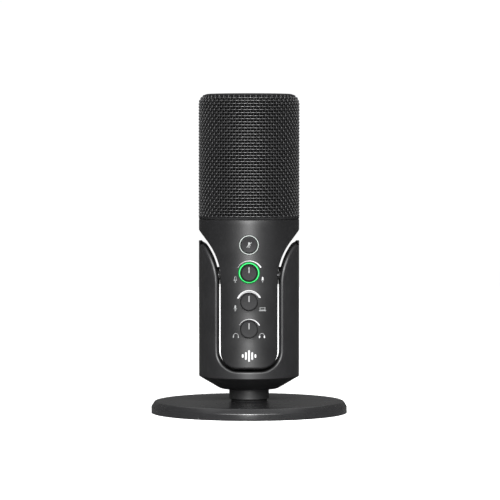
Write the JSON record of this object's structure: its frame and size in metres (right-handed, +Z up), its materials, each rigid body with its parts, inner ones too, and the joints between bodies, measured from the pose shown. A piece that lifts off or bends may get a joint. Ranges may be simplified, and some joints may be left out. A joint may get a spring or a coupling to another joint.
{
  "type": "desktop microphone",
  "caption": "Cylindrical side-address desktop microphone with a woven grille and panel knobs, tilting in a yoke on a round weighted stand.",
  "frame": {"origin": "centre of the stand's underside, on the surface it stands on", "axes": "+Z up; the control panel faces -Y; +X to the right of a person facing the panel"},
  "size_m": [0.11, 0.11, 0.179],
  "materials": {
    "satin_black_plastic": "satin",
    "yoke_black": "satin",
    "coated_black_metal": "satin",
    "grille_black": "satin",
    "knob_black": "satin",
    "white_inlay": "satin",
    "green_light_guide": "gloss",
    "grey_light_guide": "satin",
    "rubber": "matte",
    "foam": "matte",
    "steel": "satin",
    "brass": "satin",
    "circuit_board": "satin",
    "chip_black": "satin",
    "nylon": "satin"
  },
  "bodies": {
    "stand_and_yoke": {"stand_base": "coated_black_metal", "stand_foot_pad": "rubber", "stand_stud": "steel", "stand_screw": "steel", "thread_socket": "coated_black_metal", "yoke_shell": "yoke_black", "yoke_bottom_cap": "yoke_black", "yoke_frame": "steel", "left_arm_cover": "yoke_black", "right_arm_cover": "yoke_black", "left_cap_screw": "steel", "right_cap_screw": "steel", "left_pivot_bush": "nylon", "right_pivot_bush": "nylon", "left_friction_washer": "nylon", "right_friction_washer": "nylon"},
    "microphone": {"left_pivot_bolt": "steel", "right_pivot_bolt": "steel", "left_pivot_nut": "steel", "right_pivot_nut": "steel", "front_shell": "satin_black_plastic", "rear_shell": "satin_black_plastic", "left_shell_screw": "steel", "right_shell_screw": "steel", "gain_pot": "chip_black", "mix_pot": "chip_black", "volume_pot": "chip_black", "mute_switch": "chip_black", "mute_light_ring": "grey_light_guide", "gain_light_ring": "green_light_guide", "control_board": "circuit_board", "main_board": "circuit_board", "left_control_board_screw": "steel", "right_control_board_screw": "steel", "left_main_board_screw": "steel", "right_main_board_screw": "steel", "ribbon_cable": "chip_black", "headphone_jack": "chip_black", "usb_socket": "steel", "grille_mesh": "grille_black", "grille_ring": "coated_black_metal", "foam_liner": "foam", "deck_plate": "satin_black_plastic", "left_deck_screw": "steel", "right_deck_screw": "steel", "capsule": "brass", "capsule_mount": "rubber", "capsule_bracket": "nylon", "capsule_lead": "chip_black"},
    "gain_control": {"gain_knob": "knob_black", "gain_shaft": "steel", "gain_pointer": "white_inlay"},
    "mix_control": {"mix_knob": "knob_black", "mix_shaft": "steel", "mix_pointer": "white_inlay"},
    "volume_control": {"volume_knob": "knob_black", "volume_shaft": "steel", "volume_pointer": "white_inlay"},
    "mute_key": {"mute_button": "knob_black"}
  },
  "joints": [
    {"name": "tilt", "type": "hinge", "parent": "stand_and_yoke", "child": "microphone", "pos_m": [0, 0, 0.0771], "axis": [1, 0, 0], "range_deg": [-30, 30]},
    {"name": "gain_turn", "type": "hinge", "parent": "microphone", "child": "gain_control", "pos_m": [0, -0.033, 0.0797], "axis": [0, 1, 0], "range_deg": [-140, 140]},
    {"name": "mix_turn", "type": "hinge", "parent": "microphone", "child": "mix_control", "pos_m": [0, -0.033, 0.0638], "axis": [0, 1, 0], "range_deg": [-140, 140]},
    {"name": "volume_turn", "type": "hinge", "parent": "microphone", "child": "volume_control", "pos_m": [0, -0.033, 0.0487], "axis": [0, 1, 0], "range_deg": [-140, 140]},
    {"name": "mute_press", "type": "slide", "parent": "microphone", "child": "mute_key", "axis": [0, 1, 0], "range_m": [0, 0.0006], "stiffness_N_per_m": 1200, "springref_m": -0.0008}
  ]
}
